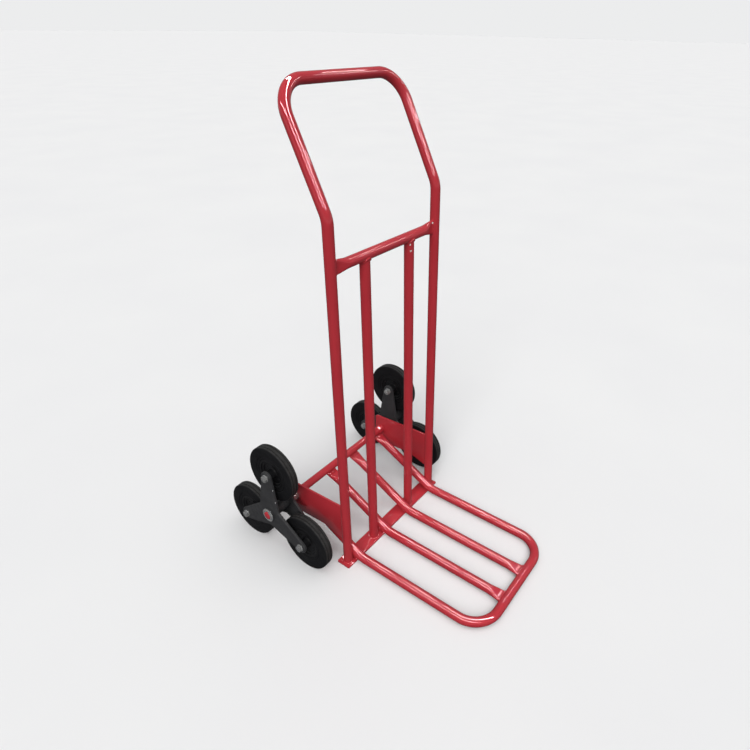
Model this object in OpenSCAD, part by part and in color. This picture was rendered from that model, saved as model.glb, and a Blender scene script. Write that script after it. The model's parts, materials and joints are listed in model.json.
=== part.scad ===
// Stair-climbing hand truck: a bent tube frame with a folded-back handle, a four-tube nose and
// a star of three wheels on each end of the axle.
// Millimetres. +X is the truck's right, -Y is the nose, +Z is up. The origin is on the floor,
// in the middle of the overall length and width.

/* [Tube] */
// Outside diameter of the frame and nose tubes
tube_d = 25; // [22:0.5:26]
// Wall of the frame and nose tubes
tube_wall = 1.5; // [1.2:0.1:2.5]
// Width of a crushed tube end
crush_w = 35; // [30:0.5:37]
// Thickness of a crushed tube end
crush_t = 7; // [5:0.5:10]
// Length over which a tube goes from round to crushed
crush_len = 42; // [25:1:55]

/* [Handle] */
// Distance between the centres of the two uprights
upright_spacing = 380; // [360:1:400]
// Height of the sharp bend where the handle starts to lean back
bend_height = 963; // [920:1:1000]
// Backward lean of the handle
lean = 25.6; // [15:0.1:32]
// Length of the leaning part, from the sharp bend to the centre of the grip
handle_len = 273; // [240:1:320]
// Centreline radius of the two handle corners
handle_corner_r = 70; // [50:1:90]
// Centreline radius of the sharp bend
handle_bend_r = 70; // [50:1:90]
// Height of the crossbar's centre
crossbar_height = 857; // [700:1:880]
// Distance between the centres of the two vertical bars
bar_spacing = 164; // [150:1:190]

/* [Base plate] */
// Length of the flat bar under the uprights
base_l = 420; // [412:1:430]
// Width of the flat bar under the uprights
base_w = 42; // [38:1:48]
// Thickness of the flat bar
base_t = 5; // [4:0.5:6]
// Distance that the flat bar's middle lies behind the uprights
base_shift = 2; // [0:0.5:4]
// Corner radius of the flat bar
base_corner_r = 3; // [1:0.5:6]

/* [Nose] */
// Distance from the uprights forward to the centre of the front tube
nose_reach = 414; // [380:1:450]
// Distance between the centres of the outer nose tubes
nose_spacing = 324; // [316:1:326]
// Distance between the centres of the inner nose tubes
inner_spacing = 100; // [70:1:112]
// Centreline radius of the front corners
nose_corner_r = 72; // [50:1:80]
// Height of the nose tubes' centres above the floor
nose_height = 13.8; // [13.8:0.1:16]
// Distance from the uprights forward to the kink where the nose tubes rise
kink_reach = 28; // [28:0.5:36]
// Centreline radius of the kink
kink_r = 60; // [50:1:66]

/* [Axle] */
// Diameter of the axle bar
axle_d = 22; // [20:0.5:24]
// Distance from the uprights back to the axle
axle_setback = 188.5; // [182:0.5:200]
// Half the length of the axle bar
axle_half = 297; // [296:0.5:300]
// Thickness of the bracket plates
bracket_t = 5; // [4:0.5:6]

/* [Wheels] */
// Outside diameter of a wheel
wheel_d = 160; // [150:1:170]
// Width of a tyre
tyre_w = 25; // [22:1:28]
// Distance from the axle to each wheel's centre
star_reach = 122; // [112:1:130]
// Distance between the middles of the two stars
star_track = 510; // [506:1:514]

/* [Star plates] */
// Gap between the two plates of a star at the wheels
plate_gap = 50; // [48:0.5:52]
// Thickness of a star plate
plate_t = 3; // [2.5:0.5:4]
// Height by which a plate's middle stands out beyond its wheel pads
plate_dish = 4; // [3:0.5:5]
// Depth of the rim turned in around a star plate
plate_rim = 4; // [2:0.5:6]
// Half width of an arm at the axle
arm_root = 38; // [34:0.5:42]
// Radius of the rounded end of an arm
arm_end_r = 18; // [16:0.5:20]

/* [Hidden] */
$fn = 64;
mesh_fn = 32;
tube_bore = tube_d - 2 * tube_wall;
joint_half = 0.5;
joint_proud = 0.4;
half_x = upright_spacing / 2;
bar_x = bar_spacing / 2;
outer_nose_x = nose_spacing / 2;
inner_nose_x = inner_spacing / 2;

// star and wheel places: two wheels of each star stand on the floor
star_x = star_track / 2;
wheel_r = wheel_d / 2;
axle_z = star_reach / 2 + wheel_r;
rear_reach = axle_setback + star_reach * cos(30) + wheel_r;
upright_y = (nose_reach + tube_d / 2 - rear_reach) / 2;
axle_y = upright_y + axle_setback;

// slope of the nose tubes: their crushed ends lie flat under the axle bar
kink_y = upright_y - kink_reach;
rise_run = axle_y - kink_y;
rise_up = axle_z - nose_height;
rise_len = norm([rise_run, rise_up]);
under_axle = (axle_d + crush_t) / 2;
slope = floor(100 * (atan(rise_up / rise_run) - asin(under_axle / rise_len))) / 100;
tangent_len = sqrt(pow(rise_len, 2) - pow(under_axle, 2));
kink_tangent = kink_r * tan(slope / 2);
tab_past = 12;
tab_before = 10;
slope_straight = tangent_len - kink_tangent - tab_before - crush_len;
slope_start = kink_tangent + slope_straight;

// bracket plate outline, behind the uprights and above the floor
bracket_back = axle_setback + 22;
bracket_back_low = 86;
bracket_back_top = 184;
bracket_knee = 72;
bracket_knee_z = 94;
bracket_front_low = 66;
bracket_front_top = 195;
bracket_corner_r = 8;

// stack along the axle, measured outward from a star's middle
pad_out = plate_gap / 2 + plate_t;
sleeve_d = 32;
sleeve_bore = 27;
sleeve_half = pad_out + plate_dish + 2;
bush_flange_t = 1.5;
bush_len = 25;
run_gap = 0.3;
running_clear = 0.05;
washer_at = sleeve_half + bush_flange_t + run_gap;
end_washer_d = 39;
end_washer_t = 2;
ring_at = washer_at + end_washer_t + 0.2;
ring_t = 1.5;
ring_d = 28;
groove_d = 20.6;
groove_w = 1.7;
ring_opening = 40;
spacer_d = 30;
hub_flat = 14;
hub_slope_end = 86;
rim_band = 2.5;
notch_r = 10;
arm_tilt = acos(arm_end_r / norm([arm_root, star_reach])) - atan2(star_reach, arm_root);
notch_reach = (arm_end_r + star_reach * sin(arm_tilt) + notch_r) / sin(60 + arm_tilt);

// wheel bolts
bolt_d = 10;
bolt_hole = 10.4;
hex_af = 17;
hex_d = hex_af / cos(30);
head_t = 6.4;
nut_t = 8;
bolt_washer_d = 21;
bolt_washer_t = 2;
bolt_end = 2;
spindle_d = 16;

// wheel
tyre_seat_r = 40;
tyre_rib_r = 34;
tyre_rib_half = 4;
shoulder_r = 4;
groove_depth = 1.6;
groove_width = 2.4;
groove_z = 5;
side_ring_r = 51;
side_ring_w = 2;
side_ring_depth = 1;
lip_r = 44;
lip_z = 10;
press_t = 2;
neck_bore_r = 12;
neck_half = plate_gap / 2 - 0.8;
half_gap = 0.05;
web_face = half_gap + press_t;
rivet_circle = 24;
rivet_count = 6;
rivet_d = 4;
rivet_head_d = 7;
rivet_head_t = 1.6;

LEFT = -1;
RIGHT = 1;
TOP = 0;
REAR = 1;
FRONT = 2;
RED = [0.72, 0.10, 0.15];
CHARCOAL = [0.17, 0.17, 0.18];
TYRE = [0.09, 0.09, 0.095];
BLACK = [0.05, 0.05, 0.05];
ZINC = [0.72, 0.73, 0.74];
BUSH = [0.12, 0.12, 0.13];

// ---- tube helpers ----

// Length of round tube along Z
module straight_tube(length) {
    difference() {
        cylinder(h = length, d = tube_d);
        translate([0, 0, -1]) cylinder(h = length + 2, d = tube_bore);
    }
}

// Bent tube that starts at the origin along +Z and turns towards +X
module tube_bend(angle, radius) {
    translate([radius, 0, 0]) rotate([90, 0, 180])
        rotate_extrude(angle = angle) translate([radius, 0]) difference() {
            circle(d = tube_d);
            circle(d = tube_bore);
        }
}

// Thin ring that joins one length of tube to the next at z = 0
module tube_joint() {
    translate([0, 0, -joint_half]) difference() {
        cylinder(h = 2 * joint_half, d = tube_d + joint_proud);
        translate([0, 0, -1]) cylinder(h = 2 * joint_half + 2, d = tube_bore - joint_proud);
    }
}

// Tube along a path of [straight length, bend angle, bend radius, roll before the bend]
module tube(path, i = 0) {
    if (i < len(path)) {
        angle = path[i][1];
        radius = path[i][2];
        straight_tube(path[i][0]);
        if (angle > 0) translate([0, 0, path[i][0]]) rotate([0, 0, path[i][3]]) {
            tube_joint();
            tube_bend(angle, radius);
            translate([radius * (1 - cos(angle)), 0, radius * sin(angle)])
                rotate([0, angle, 0]) {
                    tube_joint();
                    tube(path, i + 1);
                }
        }
    }
}

module stadium(w, t, h) {
    linear_extrude(h) {
        square([w - t, t], center = true);
        for (side = [-1, 1]) translate([side * (w - t) / 2, 0]) circle(d = t);
    }
}

// Solid from a round section at z = 0 to a flat one at z = crush_len, wide along X
module crush_form(d, w, t) {
    hull() {
        translate([0, 0, -0.2]) cylinder(h = 0.2, d = d, $fn = mesh_fn);
        translate([0, 0, crush_len]) stadium(w, t, 0.1, $fn = mesh_fn);
    }
}

// Crushed tube end, with a flat tab of length tab beyond it
module crushed_end(tab) {
    inner_w = crush_w - 2 * tube_wall;
    inner_t = crush_t - 2 * tube_wall;
    tube_joint();
    difference() {
        union() {
            crush_form(tube_d, crush_w, crush_t);
            translate([0, 0, crush_len]) stadium(crush_w, crush_t, tab);
        }
        crush_form(tube_bore, inner_w, inner_t);
        translate([0, 0, crush_len]) stadium(inner_w, inner_t, tab + 1);
    }
}

module both_ends() {
    children();
    mirror([1, 0, 0]) children();
}

module upright_solid(side) {
    translate([side * half_x, upright_y, base_t]) cylinder(h = bend_height, d = tube_d);
}

// ---- frame ----

module handle_frame() {
    bend_tangent = handle_bend_r * tan(lean / 2);
    upright_len = bend_height - base_t - bend_tangent;
    side_len = handle_len - bend_tangent - handle_corner_r;
    grip_len = upright_spacing - 2 * handle_corner_r;
    path = [[upright_len, lean, handle_bend_r, 90], [side_len, 90, handle_corner_r, -90],
            [grip_len, 90, handle_corner_r, 0], [side_len, lean, handle_bend_r, 90],
            [upright_len, 0, 0, 0]];
    color(RED) translate([-half_x, upright_y, base_t]) tube(path);
}

module crossbar() {
    round_half = half_x - crush_len - tube_d / 4;
    color(RED) difference() {
        translate([0, upright_y, crossbar_height]) both_ends() rotate([0, 90, 0]) {
            tube([[round_half, 0, 0, 0]]);
            translate([0, 0, round_half]) crushed_end(half_x - crush_len - round_half);
        }
        for (side = [LEFT, RIGHT]) upright_solid(side);
    }
}

module bar(side) {
    color(RED) difference() {
        translate([side * bar_x, upright_y, base_t])
            tube([[crossbar_height - base_t, 0, 0, 0]]);
        translate([side * bar_x, upright_y, crossbar_height]) rotate([0, 90, 0])
            cylinder(h = 2 * tube_d, d = tube_d, center = true);
    }
}

module base_plate() {
    color(RED) translate([0, upright_y + base_shift, 0]) linear_extrude(base_t) {
        square([base_l - 2 * base_corner_r, base_w], center = true);
        square([base_l, base_w - 2 * base_corner_r], center = true);
        for (sx = [-1, 1], sy = [-1, 1])
            translate([sx * (base_l / 2 - base_corner_r), sy * (base_w / 2 - base_corner_r)])
                circle(r = base_corner_r);
    }
}

// ---- nose ----

// Places children at the upper end of a sloping nose tube, with +Z down its slope
module at_slope(x) {
    translate([x, kink_y, nose_height]) rotate([90 + slope, 0, 0])
        translate([0, 0, -slope_start]) children();
}

module slope_end() {
    rotate([180, 0, 0]) crushed_end(tab_before + tab_past);
}

module nose_outer_tube() {
    reach = nose_reach - kink_reach - kink_tangent - nose_corner_r;
    front_len = nose_spacing - 2 * nose_corner_r;
    path = [[slope_straight, slope, kink_r, 90], [reach, 90, nose_corner_r, -90],
            [front_len, 90, nose_corner_r, 0], [reach, slope, kink_r, 90],
            [slope_straight, 0, 0, 0]];
    color(RED) {
        at_slope(-outer_nose_x) tube(path);
        for (side = [LEFT, RIGHT]) at_slope(side * outer_nose_x) slope_end();
    }
}

module nose_tube(side) {
    reach = nose_reach - kink_reach - kink_tangent - crush_len - tube_d / 4;
    color(RED) difference() {
        union() {
            at_slope(side * inner_nose_x) {
                tube([[slope_straight, slope, kink_r, 90], [reach, 0, 0, 0]]);
                slope_end();
            }
            translate([side * inner_nose_x, kink_y - kink_tangent - reach, nose_height])
                rotate([90, 0, 0]) crushed_end(tube_d / 4);
        }
        translate([side * inner_nose_x, upright_y - nose_reach, nose_height]) rotate([0, 90, 0])
            cylinder(h = 2 * crush_w, d = tube_d, center = true);
    }
}

// ---- axle ----

module rounded_outline(points, r) {
    offset(r = r, $fn = mesh_fn) offset(delta = -r) polygon(points);
}

module bracket(side) {
    outline = [[0, bracket_front_low], [bracket_knee, bracket_knee_z],
               [bracket_back, bracket_back_low], [bracket_back, bracket_back_top],
               [0, bracket_front_top]];
    color(RED) difference() {
        translate([side * half_x - bracket_t / 2, upright_y, 0]) rotate([90, 0, 90])
            linear_extrude(bracket_t) rounded_outline(outline, bracket_corner_r);
        upright_solid(side);
        translate([0, axle_y, axle_z]) rotate([0, 90, 0])
            cylinder(h = 2 * axle_half, d = axle_d, center = true);
    }
}

module axle_bar() {
    groove_at = star_x + ring_at - (groove_w - ring_t) / 2;
    color(RED) translate([0, axle_y, axle_z]) both_ends() rotate([0, 90, 0]) difference() {
        cylinder(h = axle_half, d = axle_d);
        translate([0, 0, groove_at]) difference() {
            cylinder(h = groove_w, d = axle_d + 2);
            cylinder(h = groove_w, d = groove_d);
        }
    }
}

// Builds children on the left side of the truck, or their mirror image on the right
module on_side(side) {
    if (side == LEFT) children();
    else mirror([1, 0, 0]) children();
}

// Star frame: origin at the middle of a star, +Z outward, +X up and +Y to the rear
module at_star(side) {
    on_side(side) translate([-star_x, axle_y, axle_z]) rotate([0, -90, 0]) children();
}

// Wheel frame: the star frame moved out along one arm
module at_arm(arm) {
    rotate([0, 0, 120 * arm]) translate([star_reach, 0, 0]) children();
}

module at_wheel(side, arm) {
    at_star(side) at_arm(arm) children();
}

module ring(inner_d, outer_d, t) {
    difference() {
        cylinder(h = t, d = outer_d);
        translate([0, 0, -1]) cylinder(h = t + 2, d = inner_d);
    }
}

module axle_spacer(side) {
    length = star_x - half_x - bracket_t / 2 - sleeve_half - bush_flange_t - run_gap;
    color(ZINC) at_star(side) translate([0, 0, -star_x + half_x + bracket_t / 2])
        ring(axle_d + 0.2, spacer_d, length);
}

module end_washer(side) {
    color(ZINC) at_star(side) translate([0, 0, washer_at])
        ring(axle_d + 0.4, end_washer_d, end_washer_t);
}

module snap_ring(side) {
    inner_r = groove_d / 2 + running_clear;
    color(ZINC) at_star(side) translate([0, 0, ring_at])
        rotate([0, 0, ring_opening / 2]) rotate_extrude(angle = 360 - ring_opening)
            translate([inner_r, 0]) square([ring_d / 2 - inner_r, ring_t]);
}

// ---- star ----

function turned(p, a) = [p[0] * cos(a) - p[1] * sin(a), p[0] * sin(a) + p[1] * cos(a)];

function arc(centre, r, from, to, steps) =
    [for (i = [0 : steps]) centre + turned([r, 0], from + (to - from) * i / steps)];

// Tip of the arm along +X and the fillet between it and the next arm
function arm_outline(grow) = concat(
    arc([star_reach, 0], arm_end_r + grow, arm_tilt - 90, 90 - arm_tilt, 20),
    arc(turned([notch_reach, 0], 60), notch_r - grow, 270 - arm_tilt, 210 + arm_tilt, 7));

// Outline of a star; grow moves every edge outward
module star_2d(grow) {
    polygon([for (arm = [TOP, REAR, FRONT], p = arm_outline(grow)) turned(p, 120 * arm)]);
}

// Everything below the three sloping facets of a star plate, moved down by drop
module under_facets(drop) {
    reach = 2 * star_reach;
    slope_run = hub_slope_end - hub_flat;
    top = plate_t - drop;
    intersection_for(arm = [TOP, REAR, FRONT]) rotate([0, 0, 120 * arm]) rotate([90, 0, 0])
        translate([0, 0, -reach]) linear_extrude(2 * reach)
            polygon([[-reach, -reach], [reach, -reach], [reach, top], [hub_slope_end, top],
                     [hub_flat - slope_run, top + 2 * plate_dish], [-reach, top + 2 * plate_dish]]);
}

// Solid under the outer face of a star plate, dished in the middle and inset from its outline
module star_form(inset, drop) {
    intersection() {
        translate([0, 0, -star_reach]) linear_extrude(star_reach + plate_dish + plate_t - drop)
            star_2d(-inset);
        under_facets(drop);
    }
}

// Pressed plate with its wheel pads at z = 0 to plate_t and its middle dished outward
module star_plate() {
    color(CHARCOAL) difference() {
        star_form(0, 0);
        star_form(rim_band, plate_t);
        star_form(-1, plate_t + plate_rim);
        translate([0, 0, -50]) cylinder(h = 100, d = sleeve_d);
        for (arm = [TOP, REAR, FRONT]) at_arm(arm) translate([0, 0, -50])
            cylinder(h = 100, d = bolt_hole);
    }
}

module outer_star_plate(side) {
    at_star(side) translate([0, 0, plate_gap / 2]) star_plate();
}

module inner_star_plate(side) {
    at_star(side) mirror([0, 0, 1]) translate([0, 0, plate_gap / 2]) star_plate();
}

module hub_sleeve(side) {
    color(CHARCOAL) at_star(side) translate([0, 0, -sleeve_half])
        ring(sleeve_bore, sleeve_d, 2 * sleeve_half);
}

module hub_bush() {
    bore = axle_d + 2 * running_clear;
    translate([0, 0, sleeve_half]) ring(bore, sleeve_d, bush_flange_t);
    translate([0, 0, sleeve_half - bush_len]) ring(bore, sleeve_bore, bush_len);
}

module hub_bushes(side) {
    color(BUSH) at_star(side) {
        hub_bush();
        mirror([0, 0, 1]) hub_bush();
    }
}

module wheel_bolts(side) {
    head_at = pad_out + bolt_washer_t;
    tip = head_at + nut_t + bolt_end;
    color(ZINC) at_star(side) for (arm = [TOP, REAR, FRONT]) at_arm(arm) {
        translate([0, 0, head_at]) cylinder(h = head_t, d = hex_d, $fn = 6);
        translate([0, 0, -tip]) cylinder(h = tip + head_at, d = bolt_d);
    }
}

module bolt_washers(side) {
    color(ZINC) at_star(side) for (arm = [TOP, REAR, FRONT], end = [0, 1]) at_arm(arm)
        mirror([0, 0, end]) translate([0, 0, pad_out])
            ring(bolt_hole, bolt_washer_d, bolt_washer_t);
}

module wheel_nuts(side) {
    color(ZINC) at_star(side) for (arm = [TOP, REAR, FRONT]) at_arm(arm)
        translate([0, 0, -pad_out - bolt_washer_t - nut_t]) difference() {
            cylinder(h = nut_t, d = hex_d, $fn = 6);
            translate([0, 0, -1]) cylinder(h = nut_t + 2, d = bolt_d);
        }
}

module wheel_spindles(side) {
    color(ZINC) at_star(side) for (arm = [TOP, REAR, FRONT]) at_arm(arm)
        translate([0, 0, -plate_gap / 2]) ring(bolt_hole, spindle_d, plate_gap);
}

// ---- wheel ----

// Half section of the tyre: radius along X, width along Y
module tyre_section() {
    half = tyre_w / 2;
    difference() {
        union() {
            translate([tyre_seat_r, -half])
                square([wheel_r - shoulder_r - tyre_seat_r, tyre_w]);
            translate([wheel_r - shoulder_r - 1, -half + shoulder_r])
                square([shoulder_r + 1, tyre_w - 2 * shoulder_r]);
            for (side = [-1, 1])
                translate([wheel_r - shoulder_r, side * (half - shoulder_r)])
                    circle(r = shoulder_r);
            translate([tyre_rib_r, -tyre_rib_half])
                square([tyre_seat_r - tyre_rib_r + 1, 2 * tyre_rib_half]);
        }
        for (side = [-1, 1]) {
            translate([wheel_r - groove_depth, side * groove_z - groove_width / 2])
                square([groove_depth + 1, groove_width]);
            translate([side_ring_r, side * half - side_ring_depth])
                square([side_ring_w, 2 * side_ring_depth]);
            translate([tyre_seat_r - 1, side > 0 ? lip_z - press_t : -half - 1])
                square([lip_r - tyre_seat_r + 1.2, half + 1 - lip_z + press_t]);
        }
    }
}

module tyre() {
    color(TYRE) rotate_extrude() tyre_section();
}

// Section of one pressed rim half: radius along X, +Y outward
module rim_section() {
    step = tyre_rib_half + press_t;
    wall_in = tyre_seat_r - press_t;
    translate([neck_bore_r, half_gap]) square([press_t, neck_half - half_gap]);
    translate([neck_bore_r, half_gap]) square([tyre_rib_r - neck_bore_r, press_t]);
    translate([tyre_rib_r - press_t, half_gap]) square([press_t, step - half_gap]);
    translate([tyre_rib_r - press_t, tyre_rib_half])
        square([tyre_seat_r - tyre_rib_r + press_t, press_t]);
    translate([wall_in, tyre_rib_half]) square([press_t, lip_z - tyre_rib_half]);
    translate([wall_in, lip_z - press_t]) square([lip_r - wall_in, press_t]);
}

module rivet_holes() {
    for (i = [0 : rivet_count - 1]) rotate([0, 0, i * 360 / rivet_count])
        translate([rivet_circle, 0, -5]) cylinder(h = 10, d = rivet_d);
}

module rims() {
    color(BLACK) for (half = [0, 1]) mirror([0, 0, half]) difference() {
        rotate_extrude() rim_section();
        rivet_holes();
    }
}

module rivets() {
    color(BLACK) for (i = [0 : rivet_count - 1]) rotate([0, 0, i * 360 / rivet_count])
        translate([rivet_circle, 0, 0]) {
            cylinder(h = 2 * web_face, d = rivet_d, center = true);
            for (half = [0, 1]) mirror([0, 0, half]) translate([0, 0, web_face])
                cylinder(h = rivet_head_t, d1 = rivet_head_d, d2 = rivet_head_d / 2);
        }
}

module bush() {
    color(BUSH) translate([0, 0, -neck_half])
        ring(spindle_d + 2 * running_clear, 2 * neck_bore_r, 2 * neck_half);
}

handle_frame();
crossbar();
bar(LEFT);  // left_bar
bar(RIGHT);  // right_bar
base_plate();
nose_outer_tube();
nose_tube(LEFT);  // left_nose_tube
nose_tube(RIGHT);  // right_nose_tube
bracket(LEFT);  // left_bracket
bracket(RIGHT);  // right_bracket
axle_bar();
axle_spacer(LEFT);  // left_axle_spacer
axle_spacer(RIGHT);  // right_axle_spacer
end_washer(LEFT);  // left_end_washer
end_washer(RIGHT);  // right_end_washer
snap_ring(LEFT);  // left_snap_ring
snap_ring(RIGHT);  // right_snap_ring
outer_star_plate(LEFT);  // left_outer_star_plate
inner_star_plate(LEFT);  // left_inner_star_plate
hub_sleeve(LEFT);  // left_hub_sleeve
hub_bushes(LEFT);  // left_hub_bushes
wheel_bolts(LEFT);  // left_wheel_bolts
bolt_washers(LEFT);  // left_bolt_washers
wheel_nuts(LEFT);  // left_wheel_nuts
wheel_spindles(LEFT);  // left_wheel_spindles
outer_star_plate(RIGHT);  // right_outer_star_plate
inner_star_plate(RIGHT);  // right_inner_star_plate
hub_sleeve(RIGHT);  // right_hub_sleeve
hub_bushes(RIGHT);  // right_hub_bushes
wheel_bolts(RIGHT);  // right_wheel_bolts
bolt_washers(RIGHT);  // right_bolt_washers
wheel_nuts(RIGHT);  // right_wheel_nuts
wheel_spindles(RIGHT);  // right_wheel_spindles
at_wheel(LEFT, TOP) tyre();  // left_top_tyre
at_wheel(LEFT, TOP) rims();  // left_top_rims
at_wheel(LEFT, TOP) rivets();  // left_top_rivets
at_wheel(LEFT, TOP) bush();  // left_top_bush
at_wheel(LEFT, REAR) tyre();  // left_rear_tyre
at_wheel(LEFT, REAR) rims();  // left_rear_rims
at_wheel(LEFT, REAR) rivets();  // left_rear_rivets
at_wheel(LEFT, REAR) bush();  // left_rear_bush
at_wheel(LEFT, FRONT) tyre();  // left_front_tyre
at_wheel(LEFT, FRONT) rims();  // left_front_rims
at_wheel(LEFT, FRONT) rivets();  // left_front_rivets
at_wheel(LEFT, FRONT) bush();  // left_front_bush
at_wheel(RIGHT, TOP) tyre();  // right_top_tyre
at_wheel(RIGHT, TOP) rims();  // right_top_rims
at_wheel(RIGHT, TOP) rivets();  // right_top_rivets
at_wheel(RIGHT, TOP) bush();  // right_top_bush
at_wheel(RIGHT, REAR) tyre();  // right_rear_tyre
at_wheel(RIGHT, REAR) rims();  // right_rear_rims
at_wheel(RIGHT, REAR) rivets();  // right_rear_rivets
at_wheel(RIGHT, REAR) bush();  // right_rear_bush
at_wheel(RIGHT, FRONT) tyre();  // right_front_tyre
at_wheel(RIGHT, FRONT) rims();  // right_front_rims
at_wheel(RIGHT, FRONT) rivets();  // right_front_rivets
at_wheel(RIGHT, FRONT) bush();  // right_front_bush
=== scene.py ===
import json
import math

import bmesh
import bpy
import numpy as np
from mathutils import Matrix, Vector
from mathutils.geometry import delaunay_2d_cdt


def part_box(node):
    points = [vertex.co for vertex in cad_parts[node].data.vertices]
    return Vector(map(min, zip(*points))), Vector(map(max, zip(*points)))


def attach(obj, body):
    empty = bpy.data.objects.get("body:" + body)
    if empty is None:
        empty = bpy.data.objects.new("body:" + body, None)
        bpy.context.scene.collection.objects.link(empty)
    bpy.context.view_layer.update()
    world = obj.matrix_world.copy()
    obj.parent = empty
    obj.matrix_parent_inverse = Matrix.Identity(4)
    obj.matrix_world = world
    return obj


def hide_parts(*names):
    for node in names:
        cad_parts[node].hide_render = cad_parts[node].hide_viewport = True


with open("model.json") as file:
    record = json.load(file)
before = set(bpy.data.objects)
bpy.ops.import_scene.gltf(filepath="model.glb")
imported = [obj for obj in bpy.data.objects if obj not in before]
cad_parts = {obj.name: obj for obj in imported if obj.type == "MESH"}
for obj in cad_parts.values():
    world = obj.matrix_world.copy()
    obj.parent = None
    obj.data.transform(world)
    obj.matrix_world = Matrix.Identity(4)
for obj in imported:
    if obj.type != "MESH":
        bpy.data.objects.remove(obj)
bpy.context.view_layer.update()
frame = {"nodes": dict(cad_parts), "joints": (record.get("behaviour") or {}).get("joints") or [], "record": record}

# ---- sizes in metres, from the frame's boxes and joints where they give them ----

X_AXIS, Y_AXIS, Z_AXIS = Vector((1, 0, 0)), Vector((0, 1, 0)), Vector((0, 0, 1))
SIDES = {"left": -1, "right": 1}
ARMS = ("top", "rear", "front")
JOINT_AT = {j["child"]: Vector(j["pos_m"]) for j in frame["joints"]}


def middle(node):
    low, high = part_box(node)
    return (low + high) / 2


def size(node):
    low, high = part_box(node)
    return high - low


TUBE_D = size("left_bar").x
TUBE_R = TUBE_D / 2
TUBE_WALL = 0.0015
UPRIGHT_X = (size("handle_frame").x - TUBE_D) / 2
UPRIGHT_Y = middle("left_bar").y
BASE_TOP = size("base_plate").z
BAR_X = middle("right_bar").x
CROSSBAR_Z = middle("crossbar").z
BEND_HEIGHT = 0.963
LEAN = math.radians(25.6)
HANDLE_LEN = 0.273
HANDLE_CORNER_R = 0.070
HANDLE_BEND_R = 0.070

CRUSH_T = 0.007
CRUSH_LEN = 0.042
NOSE_X = (size("nose_outer_tube").x - TUBE_D) / 2
INNER_NOSE_X = middle("right_nose_tube").x
NOSE_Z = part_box("nose_outer_tube")[0].z + TUBE_R
NOSE_FRONT_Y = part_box("nose_outer_tube")[0].y + TUBE_R
NOSE_CORNER_R = 0.072
KINK_Y = UPRIGHT_Y - 0.028
KINK_R = 0.060
TAB_BEFORE = 0.010
TAB_PAST = 0.012
NOSE_TUBES_X = (-NOSE_X, -INNER_NOSE_X, INNER_NOSE_X, NOSE_X)

AXLE = Vector((0, JOINT_AT["left_star"].y, JOINT_AT["left_star"].z))
AXLE_R = size("axle_bar").z / 2
AXLE_HALF = size("axle_bar").x / 2
AXLE_GROOVE_R = 0.0103
SLEEVE_R = 0.016
SLEEVE_BORE_R = 0.0135
SLEEVE_HALF = size("left_hub_sleeve").x / 2
SPACER_R = 0.015
HUB_WASHER_R = 0.0195
SNAP_RING_R = 0.014
BRACKET_X = UPRIGHT_X
BRACKET_T = size("right_bracket").x

STAR_REACH = (JOINT_AT["left_top_wheel"] - JOINT_AT["left_star"]).length
PLATE_GAP = 0.050
PLATE_T = 0.003
PLATE_DISH = 0.004
PLATE_RIM = 0.004
PLATE_EDGE_R = 0.0022
ARM_END_R = 0.018
ARM_ROOT = 0.038
NOTCH_R = 0.010
HUB_FLAT = 0.014
HUB_SLOPE_END = 0.086
PAD_OUT = PLATE_GAP / 2 + PLATE_T

BOLT_R = 0.005
BOLT_HOLE_R = 0.0052
HEX_AF = 0.017
HEAD_T = 0.0064
NUT_T = 0.008
BOLT_WASHER_R = 0.0105
BOLT_WASHER_T = 0.002
BOLT_END = 0.002

WHEEL_R = size("left_top_tyre").z / 2
TYRE_HALF = size("left_top_tyre").x / 2
GROOVE_DEPTH = 0.0016
NECK_HALF = size("left_top_rims").x / 2
RIVET_CIRCLE = 0.024
RIVET_COUNT = 6

BEAD_R, MIDDLE_BEAD_R, WIDE_BEAD_R = 0.0022, 0.0024, 0.0026
BEAD_STANDS_OFF = 0.0004

CAMERA_AT = Vector((-1.0031, -0.7774, 1.3058))
CAMERA_AZIMUTH = math.radians(-55.03)
CAMERA_ELEVATION = math.radians(28.207)
CAMERA_ROLL = math.radians(1.034)
CAMERA_LENS_MM = 28.04
CAMERA_SHIFT = (-0.0633, -0.0495)
SENSOR_MM = 36
FLOOR_HALF = 80

CEILING_COLOUR = (0.32, 0.322, 0.325)
LEFT_WALL_COLOUR = (0.20, 0.202, 0.205)
HORIZON_COLOUR = (0.84, 0.845, 0.85)
GROUND_COLOUR = (0.12, 0.12, 0.125)
LAMP_HEIGHT = 3.5
RED_PIECES = bpy.data.collections.new("red_pieces")
# name: the way the light travels, strength and spread in degrees
SUNS = {"left_panel": ((0.80, 0.45, -0.7), 1.60, 36),
        "top_panel": ((0.1, 0.2, -1), 1.40, 85)}
# name: place in X and Y, size in X and Y, radiance and the only pieces that it lights, if not all
LAMPS = {"middle_strip": (0.6, -1.25, 0.36, 6.9, 84, RED_PIECES),
         "left_strip": (-3.2, -1.25, 0.36, 6.9, 74, RED_PIECES),
         "left_lamp": (-2.4, -1.6, 0.8, 0.8, 24, None),
         "right_lamp": (2.6, -0.6, 0.5, 0.08, 110, None),
         "far_lamp": (4.4, -3.1, 1.0, 0.20, 60, None)}


# ---- camera, floor and light ----

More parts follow.
